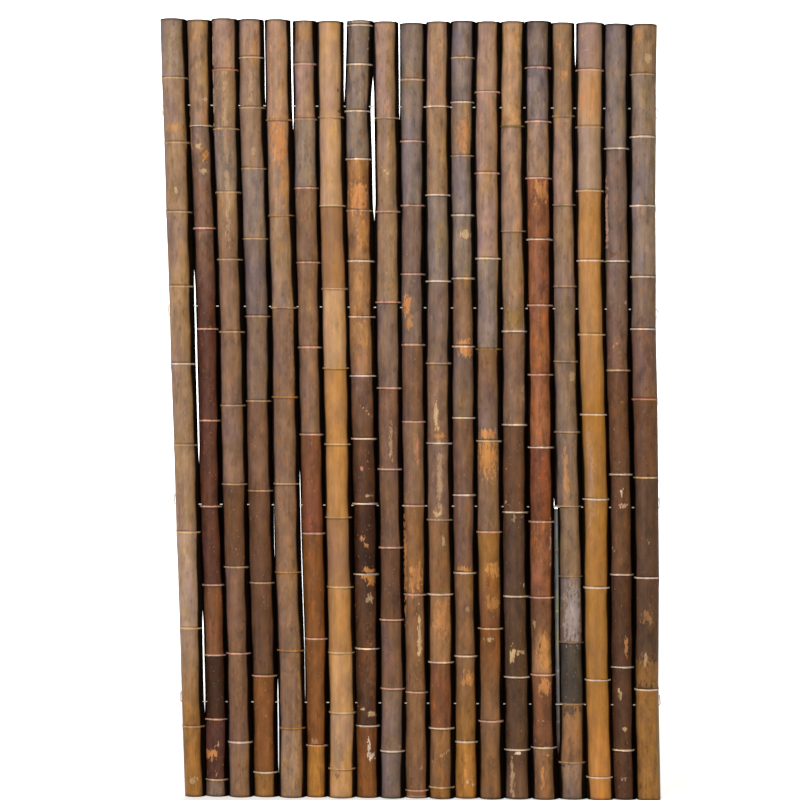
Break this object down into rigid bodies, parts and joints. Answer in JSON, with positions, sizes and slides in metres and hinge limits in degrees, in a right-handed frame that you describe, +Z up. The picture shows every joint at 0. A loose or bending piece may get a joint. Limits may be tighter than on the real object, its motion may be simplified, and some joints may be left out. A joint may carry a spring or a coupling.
{
  "type": "bamboo pole fence",
  "caption": "Upright fence panel of whole hollow bamboo poles, set side by side and threaded on galvanised wires.",
  "frame": {"origin": "middle of the panel's footprint, on the ground", "axes": "+Z up along the poles, +X along the panel to the right seen from its front, -Y towards the front"},
  "size_m": [1.1948, 0.0733, 1.831],
  "materials": {
    "bamboo_weathered": "satin, weathered",
    "bamboo_mahogany": "satin, dark stained skin",
    "bamboo_brown": "satin",
    "bamboo_tan": "satin",
    "bamboo_golden": "satin, clear skin",
    "bamboo_olive": "satin",
    "bamboo_russet": "satin, red brown skin",
    "bamboo_dark": "satin, dark skin",
    "galvanised_wire": "dull zinc"
  },
  "bodies": {
    "root": {"culm_01": "bamboo_weathered", "culm_02": "bamboo_mahogany", "culm_03": "bamboo_brown", "culm_04": "bamboo_weathered", "culm_05": "bamboo_tan", "culm_06": "bamboo_brown", "culm_07": "bamboo_golden", "culm_08": "bamboo_mahogany", "culm_09": "bamboo_olive", "culm_10": "bamboo_weathered", "culm_11": "bamboo_tan", "culm_12": "bamboo_brown", "culm_13": "bamboo_weathered", "culm_14": "bamboo_olive", "culm_15": "bamboo_russet", "culm_16": "bamboo_weathered", "culm_17": "bamboo_golden", "culm_18": "bamboo_dark", "culm_19": "bamboo_dark", "wire_bottom": "galvanised_wire", "wire_lower": "galvanised_wire", "wire_upper": "galvanised_wire", "wire_top": "galvanised_wire"}
  },
  "joints": []
}
